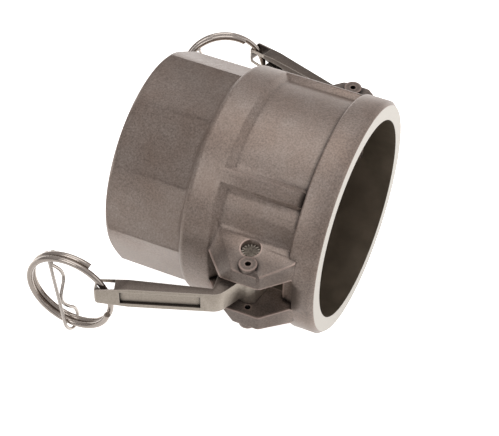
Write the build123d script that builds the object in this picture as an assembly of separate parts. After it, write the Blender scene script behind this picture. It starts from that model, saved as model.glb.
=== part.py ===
"""Cam and groove coupling: female coupler with a female pipe thread, cam levers, pull rings and safety clips.

The coupling lies on its side. X is the flow axis: the threaded end is at x = 0 and the socket mouth at +X.
The two pivot pins stand along Z, one lever is at the front (-Y) and its mirror image at the rear (+Y).
The origin is the centre of the threaded end's face.
"""
from build123d import *
from math import atan, cos, degrees, pi, radians, sin, tan
import os

os.makedirs("parts", exist_ok=True)

# Clearances
pin_clearance = 0.05        # pivot pin in its holes, on the radius
side_clearance = 0.4        # lever hub to each ear plate
seat_clearance = 0.15       # peened pin end in its sunk seat, on the radius
cam_clearance = 0.1         # cam's flat to the bore when the lever is open
cam_room = 0.6              # cam's nose to the left end of its window
latch_clearance = 0.35      # safety clip's wire in its hole, on the radius
coil_clearance = 0.08       # between the two turns of a pull ring
gasket_clearance = 0.2      # gasket to the wall of its groove
eye_clearance = 0.13        # safety clip's eye round the ring's two turns
clip_clearance = 0.25       # safety clip behind the ring that it leans on
leg_clearance = 0.15        # between the clip's legs where the wavy one comes close
over = 1.0                  # cutting shapes run this far past the faces that they cut

# Thread, gasket and socket, from the threaded end on
thread_major_r = 29.81      # 2 inch parallel pipe thread
thread_depth = 24.0
waterway_run = 4.6          # from the thread to the gasket's groove
gasket_thickness = 6.35
gasket_outside = 1.4        # gasket's outside beyond the socket, on the radius
gasket_width = 7.95         # from its outside to its bore
gasket_lip = 0.4            # gasket's bore inside the waterway, on the radius
socket_r = 31.95            # seat for the adapter
seat_run = 7.05             # from the gasket's groove to the cams' windows
seat_groove_depth = 1.05    # narrow groove that ends the seat
seat_groove_width = 1.2
mouth_relief = 0.3          # wider bore from the cams to the mouth
mouth_run = 20.9            # from the pivots to the mouth

# Casting outside
barrel_sides = 10           # flats for the wrench
barrel_corner_wall = 5.89   # thread to a corner between two flats
end_face_wall = 3.99        # thread to the edge of the turned end face
end_chamfer = 1.9           # along the axis, from that face out to the corners
shoulder_lead = 4.2         # the shoulder's foot ahead of the gasket's groove
shoulder_run = 2.8
shoulder_sink = 0.6         # its foot below the middle of each flat
shoulder_round = 2.5
band_wall = 5.45            # socket to the top of the shoulder band and ribs
band_width = 9.0
band_round = 1.3            # rounded edge of the band over the panels
collar_width = 9.2          # plain collar behind the mouth
collar_rise = 0.65          # collar over the band
collar_run = 0.6            # slanted step up to the collar
collar_round = 0.7
mouth_chamfer = 1.4         # along the axis
mouth_chamfer_drop = 1.1

# Recessed panels between the ribs
panel_depth = 2.2
panel_run = 2.3             # slanted wall at the shoulder end
panel_round = 0.9           # fillet along its foot
rib_angle = 41.5            # rib from the top or bottom, round the axis
rib_width = 4.2
rib_flank = 1.7             # spread of each flank
rib_round = 0.8

# Ears, one pair on each side; places along the axis are from the pivot
pivot_out = 4.05            # pivot beyond the socket's wall
ear_out = 8.8               # outer edge beyond the pivot
ear_sink = 2.0              # foot of the plates below the panel floor
plate_foot = 7.5            # thickness of a plate at its foot
plate_tip = 5.3             # and at the outer edge
ear_left_run = 6.3          # pivot to the left end of the outer edge, at the slot
ear_side_angle = 48.0       # left side to the flow axis
ear_side_lean = 5.6         # how far the left side leans in over the plate's thickness
ear_right_run = 6.2         # pivot to the right end of the outer edge
ear_overhang = 0.2          # right foot of the plates past the slot
ear_corner_r = 2.0
slot_half = 6.5             # half width of the slot between the plates
slot_floor_wall = 3.05      # metal under the slot's floor, beside the window
open_room = 3.2             # open lever's outer face to the right end of the slot
floor_run = 4.0             # slot's floor, to the right of the window
latch_run = 1.7             # pivot to the hole for the safety clip
latch_out = 5.9
latch_boss_r = 2.8
latch_boss_height = 0.5

# Pivot pin
pin_r = 2.5
pin_head_lip = 0.35         # peened end over the pin, on the radius
pin_head_thickness = 0.8
pin_plate = 4.8             # plate under each peened end

# Cam lever: along = from the pivot towards the tip, out = away from the casting
front_flare = 20.0          # angle of the handle to the flow axis, as it lies
rear_flare = 18.5
open_flare = 120.0          # fully open: the cam's flat is parallel to the flow axis
lever_tip = 46.2
lever_outer = 10.9
neck_thickness = 2.5
handle_half = 3.9           # half width of the handle at the neck
tip_taper_run = 10.2        # the handle narrows over this length to its tip
tip_taper = 1.2             # on each side
tip_corner_r = 1.0
bend_along = 8.6            # where the outer face bends in
bend_r = 5.0
neck_run = 2.0              # from there to the bend of the inner face
neck_foot_along = 9.2       # where the neck's inner face runs into the hub
neck_foot_out = 1.5
neck_back_along = 3.2       # where the neck's outer face runs into the hub
neck_back_out = 5.4
hub_wall = 2.25
cam_bite = 3.45             # cam's nose inside the socket, lever closed
cam_side_angle = -80.0      # side of the nose, from the handle's direction
pocket_from_bend = 5.6
pocket_from_tip = 7.7
pocket_wall = 1.4
pocket_depth = 0.9
pocket_floor = 0.5          # metal between the pocket and the scoop
scoop_length = 15.0         # hollow under the tip, open to the casting's side
scoop_wall = 0.8
slot_wall = 0.45            # metal round the ring slot
ring_play_along = 3.9       # room for the ring's wire in its slot
ring_play_out = 1.9

# Pull ring: a split ring of two turns
ring_r = 13.6               # to the wire's centre
ring_wire_r = 0.95
ring_gap_angle = 75.0       # single strand between the two ends
ring_droop = 24.0           # tilt of the ring towards the ground
ring_turn = -20.0           # direction of that tilt, from the handle
front_ring_swing = 0.0      # turn of the ring about its strand in the slot
rear_ring_swing = -29.0

# Safety clip: hairpin of spring wire
clip_wire_r = 0.55
clip_eye_end = 35.0         # angle at which the eye runs into the wavy leg
clip_length = 25.0
clip_wave = 1.7             # swing of the wavy leg
clip_pinch = 0.34           # share of the length where the legs first come close
clip_belly = 0.57
clip_throat = 0.78          # and where they come close again
clip_lip = 0.96
clip_lip_angle = 37.0
clip_seat_angle = 118.0     # place on the ring, from the lever round its lower side
clip_skew = -23.0           # legs to the ring's radius

# Radii round the flow axis
gasket_r = socket_r + gasket_outside
gasket_bore_r = gasket_r - gasket_width
waterway_r = gasket_bore_r + gasket_lip
groove_r = gasket_r + gasket_clearance
seat_groove_r = socket_r + seat_groove_depth
mouth_r = socket_r + mouth_relief
barrel_corner_r = thread_major_r + barrel_corner_wall
flats_r = barrel_corner_r * cos(pi / barrel_sides)
end_face_r = thread_major_r + end_face_wall
band_r = socket_r + band_wall
collar_r = band_r + collar_rise
panel_r = band_r - panel_depth
slot_floor_y = socket_r + slot_floor_wall
pivot_y = socket_r + pivot_out
latch_y = pivot_y + latch_out
ear_reach = pivot_y + ear_out

# Cam, hub and pin
hub_r = pin_r + pin_clearance + hub_wall
cam_reach = pivot_out + cam_bite
cam_relief = pivot_out - mouth_relief - cam_clearance
pin_head_r = pin_r + pin_head_lip
pin_head_z = slot_half + pin_plate

# Places along the flow axis
gasket_x = thread_depth + waterway_run
gasket_end = gasket_x + gasket_thickness + gasket_clearance
shoulder_x = gasket_x - shoulder_lead
shoulder_end = shoulder_x + shoulder_run
panel_x = shoulder_end + band_width
slot_left = gasket_end + seat_run
seat_groove_end = slot_left + seat_groove_width
pivot_x = slot_left + cam_room + cam_reach
slot_right = pivot_x + lever_outer + open_room
window_right = slot_right - floor_run
ear_left = pivot_x - ear_left_run
ear_right = pivot_x + ear_right_run
ear_right_foot = slot_right + ear_overhang
latch_x = pivot_x + latch_run
length = pivot_x + mouth_run
collar_x = length - collar_width

# Ear plates over the middle plane
ear_foot_z = slot_half + plate_foot
ear_tip_z = slot_half + plate_tip
ear_foot_r = panel_r - ear_sink
ear_draft = (ear_foot_z - ear_tip_z) / (ear_reach - ear_foot_r)
latch_hole_r = clip_wire_r + latch_clearance

# Lever's neck, pocket, tip and ring slot
neck_along = bend_along + neck_run
tip_taper_along = lever_tip - tip_taper_run
tip_half = handle_half - tip_taper
pocket_start = bend_along + pocket_from_bend
pocket_end = lever_tip - pocket_from_tip
pocket_half = handle_half - pocket_wall
scoop_half = tip_half - scoop_wall
ring_slot_length = 2 * ring_wire_r + ring_play_along
ring_slot_depth = 2 * ring_wire_r + ring_play_out
tip_thickness = ring_slot_depth + 2 * slot_wall
ring_hole_along = lever_tip - slot_wall - ring_slot_length / 2
ring_hole_out = lever_outer - tip_thickness / 2

# Ring's coils and clip's eye
coil_pitch = 2 * ring_wire_r + coil_clearance
ring_rise = coil_pitch * (720 - ring_gap_angle) / 360
clip_eye_r = ring_rise / 2 + ring_wire_r + eye_clearance + clip_wire_r


def turned(points):
    """Solid turned round the flow axis from (x, radius) points."""
    return revolve(make_face(Polyline(*points, close=True)), Axis.X, 360)


def polar(radius, angle):
    return (radius * cos(radians(angle)), radius * sin(radians(angle)))


def body():
    casting = barrel() + shell() + ribs()
    ears = ear_pair()
    cuts = ear_cuts()
    casting += [ears, mirror(ears, Plane.XZ)]
    casting -= inside()
    casting -= [cuts, mirror(cuts, Plane.XZ)]
    return casting


def barrel():
    """Threaded end with its flats, turned down to the round end face."""
    flats = extrude(Plane.YZ * RegularPolygon(barrel_corner_r, barrel_sides), shoulder_end)
    past_corner_r = 2 * barrel_corner_r - end_face_r
    return flats & turned([
        (0, 0), (0, end_face_r), (2 * end_chamfer, past_corner_r), (shoulder_end, past_corner_r),
        (shoulder_end, 0)])


def shell():
    """Shoulder band, panel floor and collar, all round, with the edges as moulded."""
    shoulder, band_edge = (shoulder_end, band_r), (panel_x, band_r)
    panel_foot, collar_edge = (panel_x + panel_run, panel_r), (collar_x + collar_run / 2, collar_r)
    outline = make_face(Polyline(
        (shoulder_x, 0), (shoulder_x, flats_r - shoulder_sink), shoulder, band_edge, panel_foot,
        (collar_x - collar_run / 2, panel_r), collar_edge, (length - mouth_chamfer, collar_r),
        (length, collar_r - mouth_chamfer_drop), (length, 0), close=True))
    rounds = ((shoulder, shoulder_round), (band_edge, band_round), (panel_foot, panel_round),
              (collar_edge, collar_round))
    for corner, radius in rounds:
        outline = fillet(outline.vertices().sort_by_distance(corner)[0], radius)
    return revolve(outline, Axis.X, 360)


def ribs():
    """Four straight ribs that part the panels, symmetric about both centre planes."""
    half = rib_width / 2
    outline = make_face(Polyline(
        (-half - rib_flank, panel_r - over), (-half, band_r), (half, band_r),
        (half + rib_flank, panel_r - over), close=True))
    outline = fillet(outline.vertices().group_by(Axis.Y)[-1], rib_round)
    start = (shoulder_end + panel_x) / 2
    run = collar_x - start
    rib = Pos(start, 0, 0) * extrude(Plane.YZ * outline, run)
    rib &= Pos(start + run / 2, 0, 0) * Rot(0, 90, 0) * Cylinder(band_r, run)
    return [Rot(angle, 0, 0) * rib for angle in (rib_angle, -rib_angle, 180 - rib_angle, 180 + rib_angle)]


def plate_top(y):
    """Height of the ear's drafted outer face over the middle plane, at a distance from the flow axis."""
    return ear_tip_z + ear_draft * (ear_reach - y)


def ear_plan(z, lean):
    """Outline of the front ear plates at one height."""
    left = ear_left + lean
    side_run = (ear_reach - socket_r) / tan(radians(ear_side_angle))
    right_rise = ear_right_foot - ear_right
    outline = make_face(Polyline(
        (left - side_run, -socket_r), (left, -ear_reach), (ear_right, -ear_reach),
        (ear_right_foot, right_rise - ear_reach), (ear_right_foot, -socket_r), close=True))
    corners = outline.vertices().group_by(Axis.Y)[0]
    return Pos(0, 0, z) * fillet(corners, ear_corner_r)


def ear_pair():
    """Front pair of ear plates with the slot between them, drafted on the outside and on the left."""
    plate = loft([ear_plan(slot_half, 0), ear_plan(ear_foot_z, ear_side_lean)], ruled=True)
    section = Plane.YZ * make_face(Polyline(
        (-socket_r, 0), (-socket_r, plate_top(socket_r)), (-ear_reach - over, plate_top(ear_reach + over)),
        (-ear_reach - over, 0), close=True))
    plate &= extrude(section, length)
    boss_top = plate_top(latch_y - latch_boss_r) + latch_boss_height
    boss = Cylinder(latch_boss_r, boss_top - slot_half)
    plate += Pos(latch_x, -latch_y, (slot_half + boss_top) / 2) * boss
    return plate + mirror(plate, Plane.XY)


def ear_cuts():
    """Holes for the front pin and safety clip, the pin's sunk seats, the slot and the cam's window."""
    cuts = Pos(pivot_x, -pivot_y, 0) * Cylinder(pin_r + pin_clearance, 2 * (pin_head_z + over))
    cuts += Pos(latch_x, -latch_y, 0) * Cylinder(latch_hole_r, 2 * (ear_foot_z + over))
    seat_depth = ear_foot_z - pin_head_z + over
    for side in (-1, 1):
        seat = Cylinder(pin_head_r + seat_clearance, seat_depth)
        cuts += Pos(pivot_x, -pivot_y, side * (pin_head_z + seat_depth / 2)) * seat
    for right, inner in ((slot_right, slot_floor_y), (window_right, socket_r - over)):
        way = Box(right - slot_left, ear_reach + over - inner, 2 * slot_half)
        cuts += Pos((slot_left + right) / 2, -(ear_reach + over + inner) / 2, 0) * way
    return cuts


def inside():
    """Thread bore, waterway, gasket groove and socket, with a groove between its seat and its mouth."""
    return turned([
        (-over, 0), (-over, thread_major_r), (thread_depth, thread_major_r), (thread_depth, waterway_r),
        (gasket_x, waterway_r), (gasket_x, groove_r), (gasket_end, groove_r), (gasket_end, socket_r),
        (slot_left, socket_r), (slot_left, seat_groove_r), (seat_groove_end, seat_groove_r),
        (seat_groove_end, mouth_r), (length + over, mouth_r), (length + over, 0)])


def gasket():
    gasket_front = gasket_x + gasket_thickness
    return turned([
        (gasket_x, gasket_bore_r), (gasket_x, gasket_r), (gasket_front, gasket_r),
        (gasket_front, gasket_bore_r)])


def pivot_pin():
    pin = Cylinder(pin_r, 2 * pin_head_z)
    head = Cylinder(pin_head_r, pin_head_thickness)
    for side in (-1, 1):
        pin += Pos(0, 0, side * (pin_head_z + pin_head_thickness / 2)) * head
    return Pos(pivot_x, -pivot_y, 0) * pin


def lever_frame(flare):
    """Front lever's frame at its pivot: X towards the tip, Y out from the casting."""
    return Location((pivot_x, -pivot_y, 0)) * Rot(0, 0, 180 + flare)


def lever(flare):
    solid = extrude(lever_side(), handle_half, both=True)
    solid &= extrude(Rot(90, 0, 0) * lever_plan(), 2 * lever_outer, both=True)
    solid += extrude(cam_outline(), slot_half - side_clearance, both=True)
    solid -= Cylinder(pin_r + pin_clearance, 2 * (slot_half + over))

    pocket = Box(pocket_end - pocket_start, 2 * pocket_depth, 2 * pocket_half)
    solid -= Pos((pocket_start + pocket_end) / 2, lever_outer, 0) * pocket
    scoop = extrude(Rot(90, 0, 0) * SlotOverall(scoop_length, 2 * scoop_half), tip_thickness)
    scoop_along = lever_tip - slot_wall - scoop_length / 2
    solid -= Pos(scoop_along, lever_outer - pocket_depth - pocket_floor, 0) * scoop
    ring_slot = Box(ring_slot_length, ring_slot_depth, 2 * (handle_half + over))
    solid -= Pos(ring_hole_along, ring_hole_out, 0) * ring_slot
    return lever_frame(flare) * solid


def lever_side():
    """Side outline of the handle and neck, down to the hub."""
    outline = make_face(Polyline(
        (0, hub_r - over), (neck_back_along, neck_back_out), (bend_along, lever_outer),
        (lever_tip, lever_outer), (lever_tip, lever_outer - tip_thickness),
        (neck_along, lever_outer - neck_thickness), (neck_foot_along, neck_foot_out), (0, over - hub_r),
        close=True))
    outline = fillet(outline.vertices().sort_by_distance((bend_along, lever_outer))[0], bend_r)
    return fillet(outline.vertices().group_by(Axis.X)[-1], tip_corner_r)


def lever_plan():
    """Outline of the handle seen from outside: parallel, then narrower to the tip."""
    outline = make_face(Polyline(
        (-hub_r, -handle_half), (tip_taper_along, -handle_half), (lever_tip, -tip_half),
        (lever_tip, tip_half), (tip_taper_along, handle_half), (-hub_r, handle_half), close=True))
    return fillet(outline.vertices().group_by(Axis.X)[-1], tip_corner_r)


def cam_outline():
    """Hub with the nose that grips the adapter's groove, and the flat that clears it when open."""
    far = 2 * cam_reach
    nose = Circle(cam_reach) & make_face(Polyline(
        (0, 0), polar(far, cam_side_angle), polar(far, -open_flare), close=True))
    beyond = Rot(0, 0, 270 - open_flare) * Pos(cam_relief + far / 2, 0) * Rectangle(far, 2 * far)
    return Circle(hub_r) + nose - beyond


def ring_frame(flare, swing):
    """Pull ring's frame: origin at its centre, X away from the lever, Y up the strand in the slot."""
    strand = lever_frame(flare) * Pos(ring_hole_along, ring_hole_out, 0)
    strand *= Rot(0, 0, ring_turn) * Rot(0, ring_droop, 0)
    return strand * Rot(0, 0, swing) * Pos(ring_r, 0, 0) * Rot(90, 0, 0)


def pull_ring(flare, swing):
    coils = Helix(coil_pitch, ring_rise, ring_r)
    path = Pos(0, 0, -ring_rise / 2) * Rot(0, 0, 180 + ring_gap_angle / 2) * coils
    section = Plane(path @ 0, z_dir=path % 0) * Circle(ring_wire_r)
    return ring_frame(flare, swing) * sweep(section, path=path, is_frenet=True)


def clip_frame(flare, swing):
    """Safety clip's frame: origin at the ring's wire, X along the legs, Y towards the wavy one."""
    stand_off = ring_rise / 2 + ring_wire_r + clip_clearance + clip_wire_r + clip_eye_r
    chord = 2 * ring_r * cos(radians(clip_skew))
    lean = degrees(atan(stand_off / chord))
    seat = Pos(*polar(ring_r, 180 + clip_seat_angle), 0) * Rot(0, 0, clip_seat_angle + clip_skew)
    return ring_frame(flare, swing) * seat * Rot(0, -lean, 0) * Rot(90, 0, 0)


def safety_clip(flare, swing):
    near = 2 * clip_wire_r + leg_clearance - clip_eye_r
    eye_out = polar(clip_eye_r, clip_eye_end)
    leg = Line((clip_length, -clip_eye_r), (0, -clip_eye_r))
    eye = ThreePointArc((0, -clip_eye_r), (-clip_eye_r, 0), eye_out)
    wave = Spline(
        eye_out, (clip_pinch * clip_length, near), (clip_belly * clip_length, near + 2 * clip_wave),
        (clip_throat * clip_length, near), (clip_lip * clip_length, near + clip_wave),
        tangents=[polar(1, clip_eye_end - 90), polar(1, clip_lip_angle)])
    section = Plane((clip_length, -clip_eye_r, 0), z_dir=(-1, 0, 0)) * Circle(clip_wire_r)
    return clip_frame(flare, swing) * sweep(section, path=Wire([leg, eye, wave]))


pieces = {"body": body(), "gasket": gasket()}
lies = {"front": (front_flare, front_ring_swing), "rear": (rear_flare, rear_ring_swing)}
for side, (flare, swing) in lies.items():
    pieces[side + "_pivot_pin"] = pivot_pin()
    pieces[side + "_lever"] = lever(flare)
    pieces[side + "_pull_ring"] = pull_ring(flare, swing)
    pieces[side + "_safety_clip"] = safety_clip(flare, swing)

for name, piece in pieces.items():
    if name.startswith("rear"):
        piece = mirror(piece, Plane.XZ)
    export_step(piece, "parts/" + name + ".step")
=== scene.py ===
from math import cos, pi, radians, sin

import bmesh
import bpy
from mathutils import Matrix, Vector


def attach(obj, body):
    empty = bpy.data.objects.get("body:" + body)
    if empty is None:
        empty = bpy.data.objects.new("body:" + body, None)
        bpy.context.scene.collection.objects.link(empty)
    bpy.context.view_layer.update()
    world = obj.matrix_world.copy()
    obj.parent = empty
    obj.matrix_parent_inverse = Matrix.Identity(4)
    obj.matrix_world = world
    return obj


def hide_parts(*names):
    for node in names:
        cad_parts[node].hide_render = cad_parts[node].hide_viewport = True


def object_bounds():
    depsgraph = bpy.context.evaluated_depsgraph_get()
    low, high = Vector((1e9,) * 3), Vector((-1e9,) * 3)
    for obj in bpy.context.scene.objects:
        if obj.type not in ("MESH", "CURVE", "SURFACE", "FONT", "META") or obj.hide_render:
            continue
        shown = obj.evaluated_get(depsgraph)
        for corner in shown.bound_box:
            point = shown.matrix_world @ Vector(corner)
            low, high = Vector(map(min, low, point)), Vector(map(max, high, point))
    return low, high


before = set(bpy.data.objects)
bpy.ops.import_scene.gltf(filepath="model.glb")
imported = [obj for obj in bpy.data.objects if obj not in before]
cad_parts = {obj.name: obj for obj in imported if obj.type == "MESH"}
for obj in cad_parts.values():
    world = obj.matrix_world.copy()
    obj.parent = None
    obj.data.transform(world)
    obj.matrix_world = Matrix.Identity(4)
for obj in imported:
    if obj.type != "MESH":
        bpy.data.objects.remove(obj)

cad_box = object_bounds()
scene = bpy.context.scene

# ---- The casting ----
# One aluminium casting: a ten-sided wrench end, a shoulder, a ribbed shell and two pairs of ears.
# Its skin is as cast, brownish grey and finely pitted, with painted shade in the corners and a painted
# highlight on the edges, which the mould leaves slightly round. The mouth, the end face and the bores are
# turned afterwards.
mm = 0.001
length = 71.2 * mm
bore_r = 33.6 * mm
skim = 0.1 * mm                      # how near an end a turned face lies
past_bore = 0.4 * mm                 # how far past the bore its faces still count as bored
one_point = 0.002 * mm               # points closer than this are one
flat_enough = radians(0.6)           # faces that turn less than this are one
crease = radians(32)                 # sharper edges stay crisp
pit_size = 0.55 * mm
stain_size = 14 * mm
swell_size = 3.5 * mm                # low waves that the sand mould leaves
mould_round = 0.45 * mm              # radius of the cast edges
ear_from, ear_to = 35.5 * mm, 39.5 * mm
ear_light_kept = 0.6                          # share of the light that the ears keep: a painted shade
tool_step = 0.4 * mm                 # grooves of the lathe tool
mottle_size = 9 * mm


def linear(code):
    """A colour written as sRGB hex, as the linear values that a shader takes."""
    parts = [int(code[i:i + 2], 16) / 255 for i in (1, 3, 5)]
    return [p / 12.92 if p <= 0.04045 else ((p + 0.055) / 1.055) ** 2.4 for p in parts] + [1.0]


def node(tree, kind, links=(), **settings):
    """Adds a node; settings are its own or, with in_ before their number, its inputs' values."""
    made = tree.nodes.new(kind)
    for name, value in settings.items():
        if name.startswith("in_"):
            made.inputs[int(name[3:])].default_value = value
        else:
            setattr(made, name, value)
    for source, target in links:
        tree.links.new(source, made.inputs[target])
    return made


def finish_of(name, colour, metallic, roughness):
    """A new material with its main shader, and the object coordinates that its patterns follow."""
    material = bpy.data.materials.new(name)
    material.use_nodes = True
    tree = material.node_tree
    shader = tree.nodes["Principled BSDF"]
    shader.inputs["Base Color"].default_value = linear(colour)
    shader.inputs["Metallic"].default_value = metallic
    shader.inputs["Roughness"].default_value = roughness
    place = node(tree, "ShaderNodeTexCoord").outputs["Object"]
    return material, tree, shader, place


def noise(tree, place, size, detail, roughness):
    """A cloudy pattern with spots of a real size."""
    return node(tree, "ShaderNodeTexNoise", [(place, "Vector")],
                in_2=1 / size, in_3=detail, in_4=roughness).outputs[0]


def spread(tree, source, start, end, low=0.0, high=1.0):
    """A value that runs from low to high while its source runs from start to end."""
    return node(tree, "ShaderNodeMapRange", [(source, 0)],
                in_1=start, in_2=end, in_3=low, in_4=high).outputs[0]


def ramp(tree, source, start, first, end, last):
    """A colour that runs from first to last while its source runs from start to end."""
    made = node(tree, "ShaderNodeValToRGB", [(source, 0)])
    for stop, position, code in zip(made.color_ramp.elements, (start, end), (first, last)):
        stop.position = position
        stop.color = linear(code)
    return made.outputs[0]


def bump(tree, height, strength, depth, under=None):
    """Surface relief of a real depth, on top of other relief if there is some."""
    links = [(height, "Height")]
    if under:
        links.append((under, "Normal"))
    made = node(tree, "ShaderNodeBump", links)
    made.inputs["Strength"].default_value = strength
    made.inputs["Distance"].default_value = depth
    return made.outputs[0]


def merged(name, source):
    """Copy of a CAD node with its points merged, so that its surface is one skin."""
    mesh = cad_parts[source].data.copy()
    shape = bmesh.new()
    shape.from_mesh(mesh)
    bmesh.ops.remove_doubles(shape, verts=shape.verts, dist=one_point)
    bmesh.ops.dissolve_limit(shape, angle_limit=flat_enough, verts=shape.verts, edges=shape.edges)
    shape.to_mesh(mesh)
    shape.free()
    mesh.materials.clear()
    mesh.shade_smooth()
    mesh.set_sharp_from_angle(angle=crease)
    piece = bpy.data.objects.new(name, mesh)
    scene.collection.objects.link(piece)
    return piece


def painted_highlight_and_shade(tree, skin_colour, edge, highlight_colour, corner, shade_colour):
    """Colour made paler within one distance of the edges, a painted highlight, and darker within another of
    the corners, a painted shade.
    """
    # Painted highlight: surfaces within the edge distance of a convex edge are made paler.
    rim = node(tree, "ShaderNodeAmbientOcclusion", samples=8, inside=True, only_local=True)
    rim.inputs["Distance"].default_value = edge
    edge_light = spread(tree, rim.outputs["AO"], 0.88, 0.5, 0.0, 0.7)
    pale = node(tree, "ShaderNodeMix", [(edge_light, 0), (skin_colour, 6)], data_type="RGBA")
    pale.inputs[7].default_value = linear(highlight_colour)
    # Painted shade: surfaces within the corner distance of a hollow are made darker.
    nook = node(tree, "ShaderNodeAmbientOcclusion", samples=8, only_local=True)
    nook.inputs["Distance"].default_value = corner
    clear = spread(tree, nook.outputs["AO"], 0.6, 0.96)
    dark = node(tree, "ShaderNodeMix", [(clear, 0), (pale.outputs[2], 7)], data_type="RGBA")
    dark.inputs[6].default_value = linear(shade_colour)
    return dark.outputs[2]


# Aluminium as cast, shot blasted: metallic but dull, brown-grey, with pits of about half a millimetre
# that show as a fine speckle, painted thin dark lines of shade in the corners and painted pinkish
# highlights on the edges.
cast_skin, tree, shader, place = finish_of("aluminium as cast", "#a1958d", 0.55, 0.45)
pits = noise(tree, place, pit_size, 3.0, 0.65)
stains = noise(tree, place, stain_size, 4.0, 0.6)
skin = ramp(tree, pits, 0.3, "#80746c", 0.72, "#aea198")
tint = ramp(tree, stains, 0.35, "#ede6e1", 0.68, "#ffffff")
colour = node(tree, "ShaderNodeMix", [(skin, 6), (tint, 7)], data_type="RGBA", blend_type="MULTIPLY",
              in_0=1.0)
# The pinkish paler edges are a painted highlight, and the dark corners are a painted shade.
lit_and_shaded = painted_highlight_and_shade(tree, colour.outputs[2], 1.0 * mm, "#ecd0c3", 1.8 * mm, "#2a231f")
# The ears, which stand out past the collar, are made darker: a painted shade.
split = node(tree, "ShaderNodeSeparateXYZ", [(place, 0)])
outward = node(tree, "ShaderNodeMath", [(split.outputs[1], 0)], operation="ABSOLUTE")
ear_shade = spread(tree, outward.outputs[0], ear_from, ear_to, 1.0, ear_light_kept)
shaded_ears = node(tree, "ShaderNodeVectorMath", [(lit_and_shaded, 0), (ear_shade, 1)], operation="MULTIPLY")
tree.links.new(shaded_ears.outputs[0], shader.inputs["Base Color"])
tree.links.new(spread(tree, pits, 0.3, 0.7, 0.36, 0.5), shader.inputs["Roughness"])
moulded = node(tree, "ShaderNodeBevel", samples=6)
moulded.inputs["Radius"].default_value = mould_round
swell = noise(tree, place, swell_size, 2.0, 0.5)
low = bump(tree, swell, 0.3, 0.1 * mm, moulded.outputs[0])
tree.links.new(bump(tree, pits, 0.5, 0.06 * mm, low), shader.inputs["Normal"])

# Turned aluminium: bright and pale, with fine grooves that the lathe tool leaves round the flow axis.
turned, tree, shader, place = finish_of("aluminium, turned", "#aca79e", 0.85, 0.36)
split = node(tree, "ShaderNodeSeparateXYZ", [(place, 0)])
flat = node(tree, "ShaderNodeCombineXYZ", [(split.outputs[1], 1), (split.outputs[2], 2)])
radius = node(tree, "ShaderNodeVectorMath", [(flat.outputs[0], 0)], operation="LENGTH")
around = node(tree, "ShaderNodeMath", [(radius.outputs[1], 0), (split.outputs[0], 1)], operation="ADD")
groove = node(tree, "ShaderNodeMath", [(around.outputs[0], 0)], operation="MULTIPLY",
              in_1=2 * pi / tool_step)
wave = node(tree, "ShaderNodeMath", [(groove.outputs[0], 0)], operation="SINE")
tree.links.new(bump(tree, wave.outputs[0], 0.12, 0.02 * mm), shader.inputs["Normal"])

# Bored aluminium inside, coloured dark grey-brown with a low sheen: a painted shade for the dim inside of
# the bore.
bored, tree, shader, place = finish_of("aluminium, bored, painted shade", "#7a7062", 0.6, 0.38)
mottle = noise(tree, place, mottle_size, 2.0, 0.5)
tree.links.new(ramp(tree, mottle, 0.35, "#6f6557", 0.7, "#85796a"), shader.inputs["Base Color"])

casting = merged("casting", "body")
finishes = (cast_skin, turned, bored)
for finish in finishes:
    casting.data.materials.append(finish)
for face in casting.data.polygons:
    x, y, z = face.center
    off_axis = (y * y + z * z) ** 0.5
    inward = face.normal.y * y + face.normal.z * z < -0.5 * off_axis
    endward = abs(face.normal.x) > 0.9
    if endward and (x > length - skim or x < skim):
        face.material_index = finishes.index(turned)
    elif off_axis < bore_r + past_bore and (inward or endward):
        face.material_index = finishes.index(bored)
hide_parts("body")
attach(casting, "casting")

# ---- The pipe thread ----
# Female 2 inch parallel pipe thread, 11 turns to the inch, cut into the casting's end.
# The CAD has its plain outer wall; this is the helical ridge that stands in from it.
pitch = 25.4 / 11 * mm
wall_r = 29.81 * mm
ridge = 1.35 * mm
thread_run = 21.5 * mm
thread_start = 1.2 * mm              # just inside the end face
root_share, crest_share = 0.86, 0.14  # widths of the ridge as shares of the pitch

thread_tree = bpy.data.node_groups.new("thread ridge", "GeometryNodeTree")
sizes = {}
for label, value in (("Pitch", pitch), ("Wall radius", wall_r), ("Ridge", ridge), ("Run", thread_run)):
    socket = thread_tree.interface.new_socket(label, in_out="INPUT", socket_type="NodeSocketFloat")
    sizes[socket.identifier] = value
thread_tree.interface.new_socket("Geometry", in_out="OUTPUT", socket_type="NodeSocketGeometry")
given = node(thread_tree, "NodeGroupInput")
turns = node(thread_tree, "ShaderNodeMath", [(given.outputs["Run"], 0), (given.outputs["Pitch"], 1)],
             operation="DIVIDE")
helix = node(thread_tree, "GeometryNodeCurveSpiral", [
    (turns.outputs[0], "Rotations"), (given.outputs["Wall radius"], "Start Radius"),
    (given.outputs["Wall radius"], "End Radius"), (given.outputs["Run"], "Height")])
helix.inputs["Resolution"].default_value = 96
upright = node(thread_tree, "GeometryNodeSetCurveNormal", [(helix.outputs[0], "Curve")], mode="Z_UP")
root = node(thread_tree, "ShaderNodeMath", [(given.outputs["Pitch"], 0)], operation="MULTIPLY",
            in_1=root_share)
crest = node(thread_tree, "ShaderNodeMath", [(given.outputs["Pitch"], 0)], operation="MULTIPLY",
             in_1=crest_share)
profile = node(thread_tree, "GeometryNodeCurvePrimitiveQuadrilateral", [
    (given.outputs["Ridge"], "Height"), (root.outputs[0], "Top Width"), (crest.outputs[0], "Bottom Width")],
    mode="TRAPEZOID")
profile.inputs["Offset"].default_value = 0.0
sweep = node(thread_tree, "GeometryNodeCurveToMesh", [
    (upright.outputs[0], "Curve"), (profile.outputs[0], "Profile Curve")])
sweep.inputs["Fill Caps"].default_value = True
whole = node(thread_tree, "GeometryNodeRealizeInstances", [(sweep.outputs[0], 0)])
coat = node(thread_tree, "GeometryNodeSetMaterial", [(whole.outputs[0], "Geometry")])
coat.inputs["Material"].default_value = bored
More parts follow.
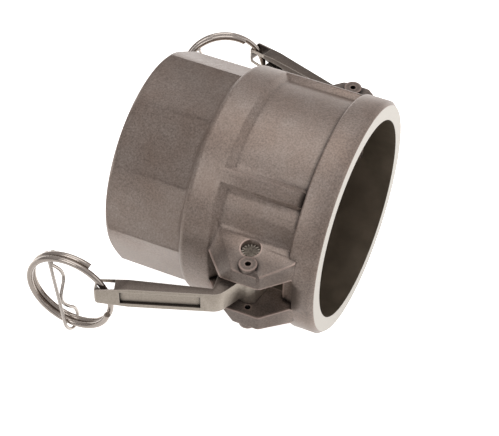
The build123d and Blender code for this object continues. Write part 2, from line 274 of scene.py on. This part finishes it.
node(thread_tree, "NodeGroupOutput", [(coat.outputs[0], 0)])


def settled(piece):
    """Makes a piece's modifiers part of its mesh and gives that mesh."""
    bpy.context.view_layer.update()
    mesh = bpy.data.meshes.new_from_object(piece.evaluated_get(bpy.context.evaluated_depsgraph_get()))
    piece.modifiers.clear()
    piece.data = mesh
    return mesh


def grown(name, tree, values, place):
    """Runs a geometry tree once and keeps the result as a plain mesh at its place."""
    carrier = bpy.data.objects.new(name, bpy.data.meshes.new(name))
    scene.collection.objects.link(carrier)
    growth = carrier.modifiers.new("growth", "NODES")
    growth.node_group = tree
    for identifier, value in values.items():
        growth[identifier] = value
    settled(carrier).transform(place)
    return carrier


# The spiral stands along Z; it is turned to run along the flow axis.
thread = grown("pipe_thread", thread_tree, sizes,
               Matrix.Translation((thread_start, 0, 0)) @ Matrix.Rotation(radians(90), 4, "Y"))
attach(thread, "casting")

# ---- The gasket ----
# Moulded rubber ring, pressed into its groove behind the socket. It is black and dull, with a faint
# grey bloom.
rubber, tree, shader, place = finish_of("nitrile rubber, moulded", "#1b1a19", 0.0, 0.62)
bloom = noise(tree, place, 1.2 * mm, 3.0, 0.6)
tree.links.new(ramp(tree, bloom, 0.0, "#161514", 1.0, "#2a2827"), shader.inputs["Base Color"])


def dressed(name, finish):
    """Gives a CAD node, whose shape stays as it is, its finish."""
    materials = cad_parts[name].data.materials
    materials.clear()
    materials.append(finish)


dressed("gasket", rubber)

# ---- The pivot pins ----
# Steel pins through the ears, each end peened into a sunk seat. The punch leaves a ring of radial dents
# near the rim; their crests are painted lighter than the dark, hammered middle, a painted highlight.
pivot = Vector((50.3 * mm, 36.0 * mm, 0))
teeth_count = 16
teeth_from, teeth_to = 1.9 * mm, 2.3 * mm
peened, tree, shader, place = finish_of("steel, peened", "#6b645b", 0.8, 0.5)
dents = noise(tree, place, 0.7 * mm, 3.0, 0.6)
struck = ramp(tree, dents, 0.3, "#4a443c", 0.7, "#8d857a")
split = node(tree, "ShaderNodeSeparateXYZ", [(place, 0)])
across = node(tree, "ShaderNodeMath", [(split.outputs[0], 0)], operation="SUBTRACT", in_1=pivot.x)
side = node(tree, "ShaderNodeMath", [(split.outputs[1], 0)], operation="ABSOLUTE")
out = node(tree, "ShaderNodeMath", [(side.outputs[0], 0)], operation="SUBTRACT", in_1=pivot.y)
turn = node(tree, "ShaderNodeMath", [(out.outputs[0], 0), (across.outputs[0], 1)], operation="ARCTAN2")
spin = node(tree, "ShaderNodeMath", [(turn.outputs[0], 0)], operation="MULTIPLY", in_1=teeth_count)
teeth = node(tree, "ShaderNodeMath", [(spin.outputs[0], 0)], operation="SINE")
spot = node(tree, "ShaderNodeCombineXYZ", [(across.outputs[0], 0), (out.outputs[0], 1)])
from_middle = node(tree, "ShaderNodeVectorMath", [(spot.outputs[0], 0)], operation="LENGTH")
near_rim = spread(tree, from_middle.outputs[1], teeth_from, teeth_to)
crests = node(tree, "ShaderNodeMath", [(teeth.outputs[0], 0), (near_rim, 1)], operation="MULTIPLY")
# Painted highlight: the crests of the dents near the rim are made lighter.
lit_crests = node(tree, "ShaderNodeMix", [(crests.outputs[0], 0), (struck, 6)], data_type="RGBA")
lit_crests.inputs[7].default_value = linear("#c9c2b6")
tree.links.new(lit_crests.outputs[2], shader.inputs["Base Color"])
hammered = bump(tree, dents, 0.8, 0.15 * mm)
tree.links.new(bump(tree, crests.outputs[0], 0.7, 0.15 * mm, hammered), shader.inputs["Normal"])
for name in ("front_pivot_pin", "rear_pivot_pin"):
    dressed(name, peened)

# ---- The cam levers ----
# Cast stainless levers. The outer face is painted a pale satin steel; the sides, the neck's inside and the
# hollow under the tip a dark brown-grey copy of it: painted light and shade, with a thin painted highlight
# where the two meet.
lever_edge = 0.35 * mm
flares = {"front": 20.0, "rear": 18.5}    # degrees that each lever stands out
grain_size = 0.5 * mm


def steel(name, low, high, metallic, roughness, depth):
    """Stainless steel with a fine grain between two colours, a painted highlight on its edges and painted
    shade in its corners.
    """
    material, tree, shader, place = finish_of(name, high, metallic, roughness)
    grain = noise(tree, place, grain_size, 3.0, 0.6)
    tone = ramp(tree, grain, 0.3, low, 0.7, high)
    # Painted highlight on the edges and painted shade in the corners.
    lit_and_shaded = painted_highlight_and_shade(tree, tone, 0.45 * mm, "#cfc6bb", 1.6 * mm, "#2b2622")
    tree.links.new(lit_and_shaded, shader.inputs["Base Color"])
    smear = spread(tree, grain, 0.3, 0.7, roughness - 0.08, roughness + 0.08)
    tree.links.new(smear, shader.inputs["Roughness"])
    tree.links.new(bump(tree, grain, 0.25, depth), shader.inputs["Normal"])
    return material


# The pale copy gives soft, bright reflections of the table; the dark copy, a painted shade, swallows them.
lit_face_steel = steel("stainless steel, lit face", "#9d9488", "#b7aea3", 0.85, 0.38, 0.04 * mm)
shaded_side_steel = steel("stainless steel, shaded sides", "#5c534c", "#756b63", 0.7, 0.45, 0.08 * mm)


def softened(piece, radius):
    """Rounds a piece's edges, as tumbling does."""
    edge = piece.modifiers.new("rounded edges", "BEVEL")
    edge.width = radius
    edge.segments = 2
    edge.limit_method = "ANGLE"
    edge.angle_limit = radians(28)
    mesh = settled(piece)
    mesh.shade_smooth()
    mesh.set_sharp_from_angle(angle=crease)


finishes = (shaded_side_steel, lit_face_steel)
for side, outward in (("front", -1), ("rear", 1)):
    lever = merged(side + "_cam_lever", side + "_lever")
    softened(lever, lever_edge)
    for finish in finishes:
        lever.data.materials.append(finish)
    flare = radians(flares[side])
    outside = Vector((sin(flare), outward * cos(flare), 0))
    # Faces turned outwards get the pale steel and all others the dark copy: painted light and shade.
    for face in lever.data.polygons:
        if face.normal.dot(outside) > 0.35:
            face.material_index = finishes.index(lit_face_steel)
    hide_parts(side + "_lever")
    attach(lever, side + "_lever_body")

# ---- The pull rings ----
# Split rings of round stainless wire, two turns, with the ends cut off square. Polished: sharp, dark and
# light bands run round the wire, slightly uneven where it was drawn.
polished, tree, shader, place = finish_of("stainless wire, polished", "#b3aaa2", 1.0, 0.2)
drawn = noise(tree, place, 1.5 * mm, 2.0, 0.5)
tree.links.new(spread(tree, drawn, 0.3, 0.7, 0.14, 0.28), shader.inputs["Roughness"])
for name in ("front_pull_ring", "rear_pull_ring"):
    dressed(name, polished)

# ---- The safety clips ----
# Hairpins of thinner stainless spring wire, hooked round each pull ring by their eye. The wire is bright
# and plain.
spring, tree, shader, place = finish_of("stainless spring wire", "#cdc6bf", 1.0, 0.24)
for name in ("front_safety_clip", "rear_safety_clip"):
    dressed(name, spring)

# ---- The studio ----
# A white table under wide soft lamps, with the background left white. In the metal's reflections alone the
# table glows, bright under the coupling and dim towards the camera: a painted reflection.
table_half = 1.5
dim_until, bright_from = -0.09, -0.03     # metres along Y on the table
dim, bright = 0.12, 1.05                  # how brightly the table glows in the metal's reflections there: a painted reflection
room_below, room_above = 0.3, 0.62
aim = Vector((0.03, 0, 0))                # the lamps point at the coupling's middle

# The camera stands where the photograph was taken from.
view = bpy.data.cameras.new("camera")
view.lens = 115.04
view.sensor_width = 36.0
view.clip_start = 0.01
view.clip_end = 20.0
camera = bpy.data.objects.new("camera", view)
scene.collection.objects.link(camera)
right = Vector((0.913162, 0.407557, 0.005582))
up = Vector((-0.301967, 0.667254, 0.680873))
back = Vector((0.273770, -0.623434, 0.732380))
camera.matrix_world = Matrix.Translation((0.17623, -0.32397, 0.36455)) @ Matrix(
    (right, up, back)).transposed().to_4x4()
scene.camera = camera

table = bpy.data.meshes.new("table")
level = cad_box[0].z
corners = [(x * table_half, y * table_half, level) for x, y in ((-1, -1), (1, -1), (1, 1), (-1, 1))]
table.from_pydata(corners, [], [(0, 1, 2, 3)])
floor = bpy.data.objects.new("table", table)
scene.collection.objects.link(floor)
paper, tree, shader, place = finish_of("white paper", "#f4f3f1", 0.0, 0.9)
rays = node(tree, "ShaderNodeLightPath")
split = node(tree, "ShaderNodeSeparateXYZ", [(place, 0)])
# Seen only in reflections, the table glows bright under the coupling and dim towards the camera: a painted
# reflection.
glow_in_reflections = spread(tree, split.outputs[1], dim_until, bright_from, dim, bright)
mirrored = node(tree, "ShaderNodeMath", [(rays.outputs["Is Glossy Ray"], 0), (glow_in_reflections, 1)],
                operation="MULTIPLY")
lift = node(tree, "ShaderNodeMath", [(rays.outputs["Is Camera Ray"], 0), (mirrored.outputs[0], 1)],
            operation="MAXIMUM")
shader.inputs["Emission Color"].default_value = (1, 1, 1, 1)
tree.links.new(lift.outputs[0], shader.inputs["Emission Strength"])
table.materials.append(paper)

# The room brightens upwards, as in a light tent; the camera itself sees plain white.
world = bpy.data.worlds.new("studio")
scene.world = world
world.use_nodes = True
tree = world.node_tree
heading = node(tree, "ShaderNodeTexCoord").outputs["Generated"]
rise = node(tree, "ShaderNodeVectorMath", [(heading, 0)], operation="DOT_PRODUCT")
rise.inputs[1].default_value = Vector((0.3, 0.35, 0.88)).normalized()
glow = spread(tree, rise.outputs[1], -0.4, 1.0, room_below, room_above)
rays = node(tree, "ShaderNodeLightPath")
seen = node(tree, "ShaderNodeMath", [(rays.outputs["Is Camera Ray"], 0),
                                     (rays.outputs["Is Transmission Ray"], 1)], operation="MAXIMUM")
strength = node(tree, "ShaderNodeMix", [(seen.outputs[0], 0), (glow, 2)], in_3=1.0)
sky = tree.nodes["Background"]
sky.inputs["Color"].default_value = linear("#fffafa")
tree.links.new(strength.outputs[0], sky.inputs["Strength"])

for name, spot, width, watts in (
        ("top lamp", (-0.1, 0.2, 1.0), 0.8, 2.6),
        ("side lamp", (0.8, 0.1, 0.35), 0.6, 0.8),
        ("front lamp", (-0.25, -0.75, 0.65), 0.5, 1.6)):
    lamp = bpy.data.lights.new(name, "AREA")
    lamp.size = width
    lamp.energy = watts
    bulb = bpy.data.objects.new(name, lamp)
    scene.collection.objects.link(bulb)
    bulb.location = spot
    bulb.rotation_euler = (aim - Vector(spot)).to_track_quat("-Z", "Y").to_euler()

scene.view_settings.view_transform = "Standard"
